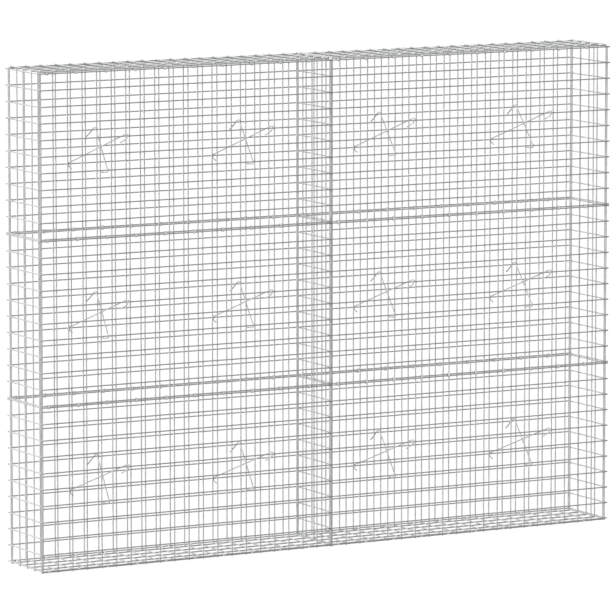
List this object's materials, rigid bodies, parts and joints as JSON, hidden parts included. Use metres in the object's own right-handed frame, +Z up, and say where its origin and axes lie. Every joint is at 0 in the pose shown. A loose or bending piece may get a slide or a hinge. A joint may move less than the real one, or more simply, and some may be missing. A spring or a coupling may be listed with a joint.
{
  "type": "gabion wall",
  "caption": "Empty gabion wall of welded square wire mesh panels in bays and stacked rows, with a mesh floor, hinged mesh lids and hooked cross braces.",
  "frame": {"origin": "middle of the wall's underside, on the ground", "axes": "+X along the wall, -Y towards the front face, +Z up"},
  "size_m": [2.02, 0.2443, 1.5275],
  "materials": {
    "mesh_wire": "galvanised, satin",
    "brace_wire": "galvanised, satin",
    "ring_wire": "galvanised, satin"
  },
  "bodies": {
    "basket": {"front_left_bottom": "mesh_wire", "front_right_bottom": "mesh_wire", "front_left_middle": "mesh_wire", "front_right_middle": "mesh_wire", "front_left_top": "mesh_wire", "front_right_top": "mesh_wire", "back_left_bottom": "mesh_wire", "back_right_bottom": "mesh_wire", "back_left_middle": "mesh_wire", "back_right_middle": "mesh_wire", "back_left_top": "mesh_wire", "back_right_top": "mesh_wire", "end_left_bottom": "mesh_wire", "end_left_middle": "mesh_wire", "end_left_top": "mesh_wire", "end_right_bottom": "mesh_wire", "end_right_middle": "mesh_wire", "end_right_top": "mesh_wire", "partition_bottom": "mesh_wire", "partition_middle": "mesh_wire", "partition_top": "mesh_wire", "floor_left": "mesh_wire", "floor_right": "mesh_wire", "braces_left_bottom": "brace_wire", "braces_right_bottom": "brace_wire", "braces_left_middle": "brace_wire", "braces_right_middle": "brace_wire", "braces_left_top": "brace_wire", "braces_right_top": "brace_wire"},
    "left_lid": {"lid_left": "mesh_wire", "hinge_rings_left": "ring_wire"},
    "right_lid": {"lid_right": "mesh_wire", "hinge_rings_right": "ring_wire"}
  },
  "joints": [
    {"name": "left_lid_hinge", "type": "hinge", "parent": "basket", "child": "left_lid", "pos_m": [-0.502, 0.112, 1.517], "axis": [-1, 0, 0], "range_deg": [0, 220]},
    {"name": "right_lid_hinge", "type": "hinge", "parent": "basket", "child": "right_lid", "pos_m": [0.502, 0.112, 1.517], "axis": [-1, 0, 0], "range_deg": [0, 220]}
  ]
}
